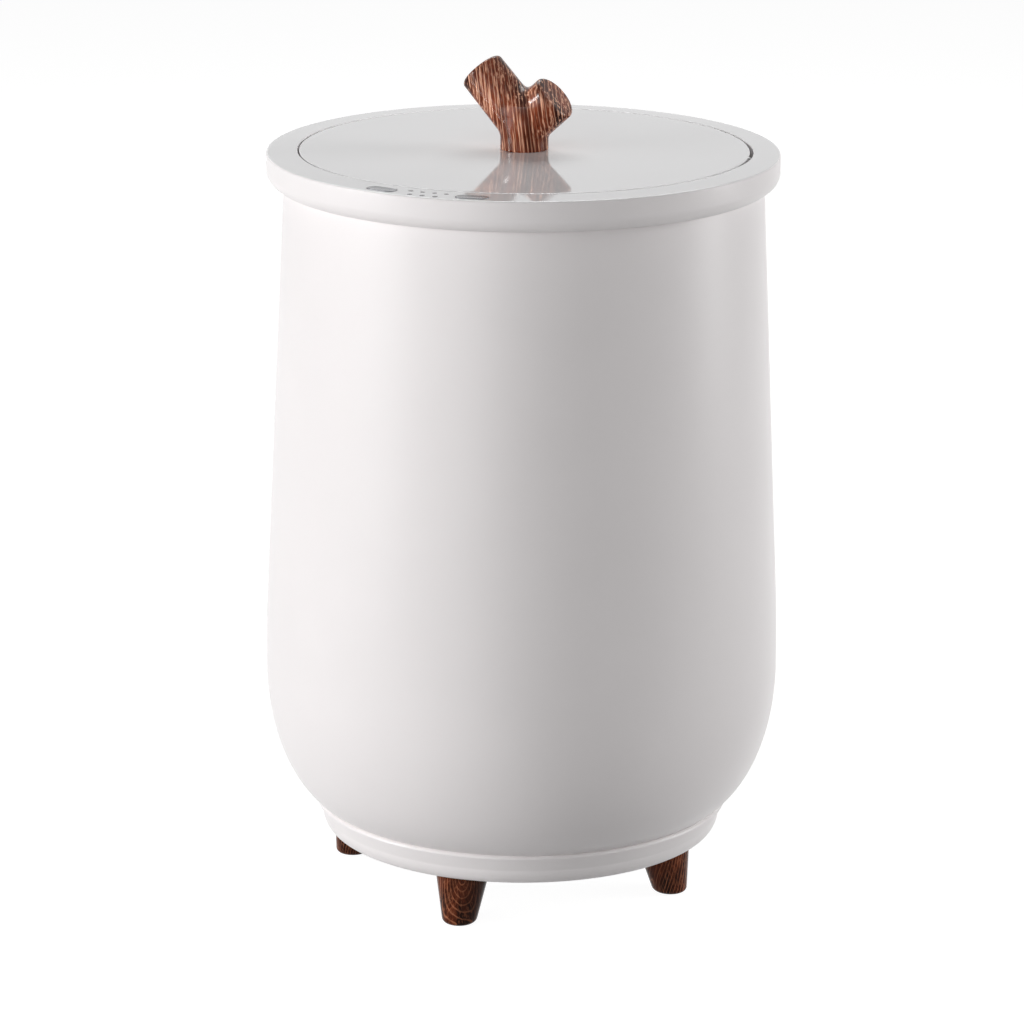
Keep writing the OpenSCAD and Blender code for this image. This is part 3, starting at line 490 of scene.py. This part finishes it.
def field_surface(name, field, corner, extent, step, sharp=45):
    """Closed mesh of a distance field: one point in each cell the surface crosses, pulled onto it."""
    size = [int(math.ceil(e / step)) + 1 for e in extent]
    grids = np.meshgrid(*[np.arange(n) for n in size], indexing="ij")
    points = np.stack(grids, -1) * step + np.array(corner, float)
    inside = field(points) < 0
    cells = np.zeros([n - 1 for n in size], int)
    for i in (0, 1):
        for j in (0, 1):
            for k in (0, 1):
                cells += inside[i:size[0] - 1 + i, j:size[1] - 1 + j, k:size[2] - 1 + k]
    crossed = (cells > 0) & (cells < 8)
    index = np.full(crossed.shape, -1)
    index[crossed] = np.arange(crossed.sum())
    verts = (np.argwhere(crossed) + 0.5) * step + np.array(corner, float)
    for _ in range(8):
        slope = field_gradient(field, verts)
        scale = np.maximum((slope ** 2).sum(-1), 0.2)
        verts = verts - slope * (field(verts) / scale)[:, None]
    faces = []
    for axis in range(3):
        u, v = (axis + 1) % 3, (axis + 2) % 3
        a = np.take(inside, range(size[axis] - 1), axis)
        b = np.take(inside, range(1, size[axis]), axis)
        for at in np.argwhere(a != b):
            if at[u] == 0 or at[v] == 0:
                continue
            corners = []
            for du, dv in ((-1, -1), (0, -1), (0, 0), (-1, 0)):
                c = at.copy()
                c[u] += du
                c[v] += dv
                corners.append(int(index[tuple(c)]))
            faces.append(corners if a[tuple(at)] else corners[::-1])
    return finish_mesh(name, verts, faces, sharp)


def handle():
    piece = field_surface("handle_wood", distance_to_handle, HANDLE_CORNER, HANDLE_EXTENT, HANDLE_STEP)
    return put(piece, Matrix.Translation((0, 0, RING_TOP * MM)))


# Materials

def srgb(red, green, blue):
    """Colour as a shader takes it, from 0 to 255 values as a screen shows it."""
    levels = [c / 255 for c in (red, green, blue)]
    return tuple(c / 12.92 if c <= 0.04045 else ((c + 0.055) / 1.055) ** 2.4 for c in levels) + (1.0,)


class Look:
    """A Principled material whose detail comes from nodes in the object's own space."""

    def __init__(self, name, place=None, **constants):
        self.material = bpy.data.materials.new(name)
        self.material.use_nodes = True
        self.tree = self.material.node_tree
        self.shader = self.tree.nodes["Principled BSDF"]
        self.place = self.node("TexCoord").outputs["Object"]
        if place:
            self.place = self.turn(self.place, *place)
        for key, value in constants.items():
            self.shader.inputs[key.replace("_", " ")].default_value = value

    def node(self, kind, inputs=(), **settings):
        """A new node: an input given as a socket is linked, any other sets the value."""
        new = self.tree.nodes.new("ShaderNode" + kind)
        for key, value in settings.items():
            setattr(new, key, value)
        for key, value in dict(inputs).items():
            if isinstance(value, bpy.types.NodeSocket):
                self.tree.links.new(value, new.inputs[key])
            else:
                new.inputs[key].default_value = value
        return new

    def turn(self, vector, origin, angles):
        """Coordinates from that origin in metres, along axes turned by those angles in degrees."""
        inputs = {"Vector": vector, "Location": origin, "Rotation": [math.radians(v) for v in angles]}
        return self.node("Mapping", inputs, vector_type="TEXTURE").outputs[0]

    def stretch(self, vector, scale):
        return self.node("Mapping", {"Vector": vector, "Scale": scale}, vector_type="POINT").outputs[0]

    def noise(self, scale, detail=2.0, vector=None, rough=0.5):
        inputs = {"Vector": vector or self.place, "Scale": scale, "Detail": detail, "Roughness": rough}
        return self.node("TexNoise", inputs).outputs[0]

    def math(self, operation, a, b=0.0, clamp=False):
        return self.node("Math", {0: a, 1: b}, operation=operation, use_clamp=clamp).outputs[0]

    def span(self, value, low_in, high_in, low_out, high_out):
        inputs = {"Value": value, "From Min": low_in, "From Max": high_in,
                  "To Min": low_out, "To Max": high_out}
        return self.node("MapRange", inputs).outputs[0]

    def ramp(self, value, *stops):
        new = self.node("ValToRGB", {0: value})
        stripe = new.color_ramp.elements
        stripe[0].position, stripe[0].color = stops[0]
        stripe[1].position, stripe[1].color = stops[-1]
        for position, colour in stops[1:-1]:
            stripe.new(position).color = colour
        return new.outputs[0]

    def mix(self, share, a, b):
        return self.node("Mix", {0: share, 6: a, 7: b}, data_type="RGBA").outputs[2]

    def paint(self, colour=None, roughness=None, height=None, depth=0.0001):
        """Links what is given to the shader; height from 0 to 1 raises the surface by depth metres."""
        if colour is not None:
            self.tree.links.new(colour, self.shader.inputs["Base Color"])
        if roughness is not None:
            self.tree.links.new(roughness, self.shader.inputs["Roughness"])
        if height is not None:
            bump = self.node("Bump", {"Height": height, "Distance": depth, "Strength": 1.0})
            self.tree.links.new(bump.outputs[0], self.shader.inputs["Normal"])
        return self.material


def moulded(name, colour, rough, grain=0.000004, **constants):
    """Moulded plastic: faint clouding, slight unevenness of gloss and a fine skin."""
    look = Look(name, **constants)
    darker = srgb(*[c - 1 for c in colour])
    lighter = srgb(*[c + 1 for c in colour])
    tone = look.ramp(look.noise(11, 2), (0.35, darker), (0.65, lighter))
    gloss = look.span(look.noise(45, 3), 0.3, 0.7, rough * 0.95, rough * 1.05)
    return look.paint(tone, gloss, look.noise(700, 3), grain)


def wood(name, place, shades, ring, sway=1.0, broken=0.3, strands_and_glint=1.0, depth=1.0, painted_shade=(), **constants):
    """Lacquered hardwood: thin light lines on rings around a pith, broad dark bands, fine strands partly
    painted as highlight, and pores.

    Depth below 1 draws the pattern out along the local Y axis too. Painted shade gives the places along the
    local X axis, in metres, between which the wood is painted darker, as shade on the side away from the
    light.
    """
    dark, middle, light = [srgb(*c) for c in shades]
    look = Look(name, place, **constants)
    along = look.stretch(look.place, (1, depth, 0.1))
    across = look.stretch(look.place, (1, 1, 0))
    radius = look.node("VectorMath", {0: across}, operation="LENGTH").outputs["Value"]
    bend = look.math("MULTIPLY", look.noise(60, 1, along), 2.0 * sway)
    shake = look.math("MULTIPLY", look.noise(300, 1, along), 0.8 * sway)
    rings = look.math("ADD", look.math("DIVIDE", radius, ring), look.math("ADD", bend, shake))
    band = look.ramp(look.noise(125, 2, along, 0.4), (0.36, dark), (0.56, middle))
    line = look.ramp(look.math("FRACT", rings), (0.0, (1, 1, 1, 1)), (0.07, (0.5, 0.5, 0.5, 1)),
                     (0.17, (0, 0, 0, 1)), (0.85, (0, 0, 0, 1)), (1.0, (1, 1, 1, 1)))
    fade = look.span(look.noise(240, 2, along), 0.4, 0.58, broken, 1.0)
    slim = look.stretch(look.place, (1, depth, 0.04))
    strand = look.noise(900, 2, slim, 0.6)
    tone = look.mix(look.span(strand, 0.34, 0.48, 0.75, 0.0), band, dark)
    tone = look.mix(look.math("MULTIPLY", line, fade), tone, light)
    # Light strands: partly the wood's own figure, partly painted highlight of the lacquer
    glint = look.math("MULTIPLY", look.span(strand, 0.54, 0.66, 0.0, 1.0), strands_and_glint, clamp=True)
    tone = look.mix(glint, tone, light)
    pore = look.noise(1500, 2, slim)
    pit = look.span(pore, 0.6, 0.7, 0.0, 1.0)
    tone = look.mix(look.math("MULTIPLY", pit, 0.4), tone, dark)
    # Painted shade: darker towards one side along the local X axis, where the leg turns away from the light
    if painted_shade:
        side = look.node("SeparateXYZ", {0: look.place}).outputs[0]
        tone = look.mix(look.span(side, painted_shade[0], painted_shade[1], 0.0, 0.8), tone, srgb(26, 9, 4))
    gloss = look.span(strand, 0.3, 0.7, 0.12, 0.17)
    return look.paint(tone, gloss, look.math("SUBTRACT", 1.0, pit), 0.00001)


def metal(name, colour, rough, scratch):
    """Metal with fine drawn lines along the direction that scratch leaves long."""
    look = Look(name, Metallic=1.0)
    lines = look.noise(1, 3, look.stretch(look.place, scratch), 0.6)
    tone = look.ramp(lines, (0.3, srgb(*[c - 14 for c in colour])), (0.7, srgb(*[c + 10 for c in colour])))
    gloss = look.span(lines, 0.3, 0.7, rough * 0.75, rough * 1.3)
    return look.paint(tone, gloss, lines, 0.000008)


def felt(name, colour):
    look = Look(name, Roughness=0.95, Sheen_Weight=0.3)
    fibres = look.noise(520, 5, look.stretch(look.place, (1, 1, 2.2)), 0.7)
    tone = look.ramp(fibres, (0.3, srgb(*[c * 0.72 for c in colour])), (0.7, srgb(*colour)))
    return look.paint(tone, None, fibres, 0.0006)


def heating_film(name):
    look = Look(name, Roughness=0.5)
    wave = look.node("TexWave", {0: look.place, "Scale": 36.0, "Distortion": 0.6}, bands_direction="Z")
    weave = wave.outputs[1]
    tone = look.ramp(weave, (0.0, srgb(150, 62, 26)), (0.5, srgb(196, 96, 44)), (0.9, srgb(206, 108, 54)))
    return look.paint(tone, look.span(look.noise(80, 3), 0.3, 0.7, 0.42, 0.58), weave, 0.00015)


def circuit_board(name):
    look = Look(name, Roughness=0.35)
    tracks = look.node("TexBrick", {0: look.place, "Scale": 160.0, "Mortar Size": 0.03,
                                    "Color1": srgb(22, 92, 44), "Color2": srgb(16, 78, 38),
                                    "Mortar": srgb(66, 138, 74)})
    return look.paint(tracks.outputs[0], look.span(look.noise(200, 2), 0.3, 0.7, 0.3, 0.42),
                      tracks.outputs[1], 0.00003)


def components(name):
    look = Look(name, Roughness=0.4)
    cells = look.node("TexVoronoi", {"Vector": look.place, "Scale": 70.0}).outputs[1]
    part = look.node("SeparateColor", {0: cells}).outputs[0]
    tone = look.ramp(part, (0.0, srgb(34, 34, 38)), (0.45, srgb(58, 60, 66)), (0.55, srgb(188, 152, 58)),
                     (1.0, srgb(204, 170, 84)))
    return look.paint(tone, look.span(look.noise(150, 3), 0.3, 0.7, 0.32, 0.5), look.noise(600, 3), 0.00004)


def light_guide(name):
    look = Look(name, IOR=1.46)
    tone = look.ramp(look.noise(240, 2), (0.35, srgb(84, 86, 90)), (0.65, srgb(112, 114, 118)))
    return look.paint(tone, look.span(look.noise(300, 2), 0.3, 0.7, 0.16, 0.24))


# Dark, middle and light shade of each wood
# Walnut's light shade is whitened in part as painted highlight
WALNUT = ((52, 16, 6), (132, 62, 37), (232, 176, 146))
MAHOGANY = ((40, 12, 3), (104, 48, 26), (192, 122, 88))

LOOKS = {
    "barrel_white": moulded("barrel_white", (240, 236, 236), 0.34, Specular_IOR_Level=0.25),
    "lid_white": moulded("lid_white", (237, 236, 237), 0.05, 0.000001, Specular_IOR_Level=0.72),
    "button_grey": moulded("button_grey", (116, 117, 121), 0.2, Metallic=0.2),
    "indicator": light_guide("indicator"),
    "bucket_metal": metal("bucket_metal", (200, 202, 204), 0.32, (60, 60, 2600)),
    "steel": metal("steel", (182, 183, 186), 0.3, (900, 900, 900)),
    "rubber": moulded("rubber", (38, 38, 40), 0.7, 0.00003),
    "seal": moulded("seal", (206, 206, 204), 0.55, 0.00002),
    "felt": felt("felt", (212, 198, 166)),
    "heater_film": heating_film("heater_film"),
    "base_plastic": moulded("base_plastic", (208, 208, 208), 0.5, 0.00003),
    "board": circuit_board("board"),
    "electronics": components("electronics"),
    "black_plastic": moulded("black_plastic", (30, 30, 32), 0.45, 0.00002),
    "wire_red": moulded("wire_red", (150, 26, 20), 0.5, 0.00002),
    "handle_wood": wood("handle_wood", ((-0.1, -0.05, RING_TOP * MM), (0, -7, 21.65)), WALNUT, 0.0024,
                        0.6, 0.2, depth=0.3, Specular_IOR_Level=0.12),
}

# Where each leg's rings have their centre, how they are turned, and where the wood is painted darker as
# shade
LEG_PITHS = {
    "leg_front": ((0.0055, -0.1135, 0.031), (24, 0, 21.65), (-0.012, 0.014)),
    "leg_right": ((0.104, -0.0165, 0.036), (21, 4, 30), (0.006, -0.016)),
    "leg_left": ((-0.105, -0.016, 0.012), (-22, 5, 12), (-0.03, 0.01)),
    "leg_back": ((0.004, 0.112, 0.03), (-24, 3, -10), ()),
}
for node, (origin, angles, painted_shade) in LEG_PITHS.items():
    LOOKS[node] = wood(node, (origin, angles), MAHOGANY, 0.0017, 0.35, 0.5, 0.4, 1.0, painted_shade,
                       Specular_IOR_Level=0.06)


# The dressed object

def dress(piece, look, body, slot, *nodes):
    """Gives the piece its material, ties it to its body and hides the nodes it stands for; slot is not used.
    """
    piece.data.materials.clear()
    piece.data.materials.append(LOOKS[look])
    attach(piece, body)
    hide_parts(*nodes)


SLOTS = {
    "bucket_metal": ("inner_bucket", "lid_pan"),
    "steel": ("leg_bolts", "service_plate_screws", "power_board_screws", "shell_screws", "carrier_plate",
              "thermostat", "control_board_screws", "handle_screw", "handle_washer"),
    "base_plastic": ("service_plate", "carrier_posts", "thermal_fuse"),
    "rubber": ("cord_gland",),
    "board": ("power_board", "control_board"),
    "electronics": ("power_parts", "terminal_block"),
    "felt": ("insulation_pad", "insulation_sleeve", "lid_insulation"),
    "heater_film": ("base_heater", "side_heating_film"),
    "seal": ("bucket_gasket", "lid_seal"),
    "black_plastic": ("tact_switches", "control_cable"),
    "indicator": ("indicator_leds", "indicator_lens"),
    "wire_red": ("heater_lead",),
}
for look, nodes in SLOTS.items():
    for node in nodes:
        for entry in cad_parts[node].material_slots:
            entry.material = LOOKS[look]

for node in LEG_ANGLES:
    dress(leg(node), node, "cabinet", "leg_wood", node)
dress(plinth(), "barrel_white", "cabinet", "barrel_white", "plinth_tray")
dress(barrel(), "barrel_white", "cabinet", "barrel_white", "outer_shell")
rim = ring()
dress(rim, "lid_white", "cabinet", "lid_white", "top_ring")
rim.data.materials.append(LOOKS["barrel_white"])
for face in rim.data.polygons:
    glossy = face.center.z > (RING_TOP - RING_EDGE) * MM and face.normal.z > 0.8
    face.material_index = 0 if glossy else 1
dress(button("power_key", -1), "button_grey", "power_button", "button_grey", "button_power")
dress(button("timer_key", 1), "button_grey", "timer_button", "button_grey", "button_timer")
dress(lid(), "lid_white", "lid", "lid_white", "lid_panel")
dress(handle(), "handle_wood", "lid", "handle_wood", "handle")


# Camera, floor and light

VIEW_TURN = math.radians(21.65)
VIEW_YAW = math.radians(-0.14)
VIEW_PITCH = math.radians(15.73)
VIEW_ROLL = math.radians(0.29)
VIEW_DISTANCE = 2.707
VIEW_HEIGHT = 1.006
VIEW_FOCAL = 4372 / 1024
SENSOR = 36

FLOOR_HALF = 14
FLOOR_BOUNCE = 0.45
FLOOR_SHADE = 0.2
FLOOR_GLOW = 0.95
LAMP_AIM = 0.27


def photo_camera():
    """Camera at the photograph's place: turned, pitched and rolled as fitted to the outline."""
    level = math.cos(VIEW_PITCH)
    forward = Vector((math.sin(VIEW_YAW) * level, math.cos(VIEW_YAW) * level, -math.sin(VIEW_PITCH)))
    right = Vector((math.cos(VIEW_YAW), -math.sin(VIEW_YAW), 0))
    right = right * math.cos(VIEW_ROLL) + right.cross(forward) * math.sin(VIEW_ROLL)
    axes = Matrix((right, right.cross(forward), -forward)).transposed()
    data = bpy.data.cameras.new("camera")
    data.sensor_width = SENSOR
    data.lens = SENSOR * VIEW_FOCAL
    camera = bpy.data.objects.new("camera", data)
    place = Matrix.Translation((0, -VIEW_DISTANCE, VIEW_HEIGHT)) @ axes.to_4x4()
    camera.matrix_world = Matrix.Rotation(VIEW_TURN, 4, "Z") @ place
    bpy.context.scene.collection.objects.link(camera)
    bpy.context.scene.camera = camera


def seen_white(tree):
    """1 for camera, glossy and transmission rays, 0 for the light that bounces."""
    path = tree.nodes.new("ShaderNodeLightPath")
    share = path.outputs["Is Camera Ray"]
    for other in ("Is Glossy Ray", "Is Transmission Ray"):
        both = tree.nodes.new("ShaderNodeMath")
        both.operation = "MAXIMUM"
        tree.links.new(share, both.inputs[0])
        tree.links.new(path.outputs[other], both.inputs[1])
        share = both.outputs[0]
    return share


def sky():
    """White backdrop that lights nothing by itself."""
    world = bpy.data.worlds.new("studio")
    bpy.context.scene.world = world
    world.use_nodes = True
    tree = world.node_tree
    bounce = tree.nodes["Background"]
    bounce.inputs[1].default_value = 0
    seen = tree.nodes.new("ShaderNodeBackground")
    seen.inputs[0].default_value = (1, 1, 1, 1)
    both = tree.nodes.new("ShaderNodeMixShader")
    tree.links.new(seen_white(tree), both.inputs[0])
    tree.links.new(bounce.outputs[0], both.inputs[1])
    tree.links.new(seen.outputs[0], both.inputs[2])
    tree.links.new(both.outputs[0], tree.nodes["World Output"].inputs[0])


def floor():
    """Pale floor: bright enough by itself to meet the backdrop, with enough plain colour to show shadows."""
    mesh = bpy.data.meshes.new("floor")
    corners = [(x * FLOOR_HALF, y * FLOOR_HALF, 0) for x, y in ((-1, -1), (1, -1), (1, 1), (-1, 1))]
    mesh.from_pydata(corners, [], [(0, 1, 2, 3)])
    piece = bpy.data.objects.new("floor", mesh)
    bpy.context.scene.collection.objects.link(piece)
    material = bpy.data.materials.new("floor")
    material.use_nodes = True
    tree = material.node_tree
    tree.nodes.remove(tree.nodes["Principled BSDF"])
    parts = [tree.nodes.new("ShaderNode" + kind) for kind in
             ("BsdfDiffuse", "BsdfDiffuse", "Emission", "AddShader", "MixShader")]
    plain, dim, light, seen, both = parts
    plain.inputs[0].default_value = (FLOOR_BOUNCE,) * 3 + (1,)
    dim.inputs[0].default_value = (FLOOR_SHADE,) * 3 + (1,)
    light.inputs[1].default_value = FLOOR_GLOW
    tree.links.new(dim.outputs[0], seen.inputs[0])
    tree.links.new(light.outputs[0], seen.inputs[1])
    tree.links.new(seen_white(tree), both.inputs[0])
    tree.links.new(plain.outputs[0], both.inputs[1])
    tree.links.new(seen.outputs[0], both.inputs[2])
    tree.links.new(both.outputs[0], tree.nodes["Material Output"].inputs[0])
    mesh.materials.append(material)


def lamp(name, turn, height, distance, width, tall, power):
    """Soft box at that angle from the camera's side, positive to its right, facing the barrel."""
    data = bpy.data.lights.new(name, "AREA")
    data.shape = "RECTANGLE"
    data.size = width
    data.size_y = tall
    data.energy = power
    piece = bpy.data.objects.new(name, data)
    side = math.radians(turn - 90) + VIEW_TURN
    spot_at = Vector((distance * math.cos(side), distance * math.sin(side), height))
    facing = Vector((0, 0, LAMP_AIM)) - spot_at
    piece.matrix_world = Matrix.Translation(spot_at) @ facing.to_track_quat("-Z", "Y").to_matrix().to_4x4()
    bpy.context.scene.collection.objects.link(piece)
    return piece


# Name, angle, height, distance, width and height of the box, and watts
LAMPS = (
    ("edge", -85, 0.55, 2.6, 1.0, 1.8, 18.5),
    ("key", -65, 0.55, 2.6, 1.0, 1.8, 38),
    ("front", -25, 0.75, 2.6, 1.0, 1.8, 20),
    ("fill", 95, 0.75, 2.6, 1.0, 1.8, 45),
    ("top_front", 0, 2.6, 1.6, 1.6, 1.2, 5.5),
    ("top_back", 180, 2.4, 1.8, 2.0, 1.2, 34),
)
# Shows in gloss alone, as the light streak on the handle's short branch
GLINT = ("glint", -78, 1.3, 2.6, 0.45, 0.8, 57)

photo_camera()
sky()
floor()
for entry in LAMPS:
    lamp(*entry)
lamp(*GLINT).visible_diffuse = False

bpy.context.scene.view_settings.view_transform = "Standard"
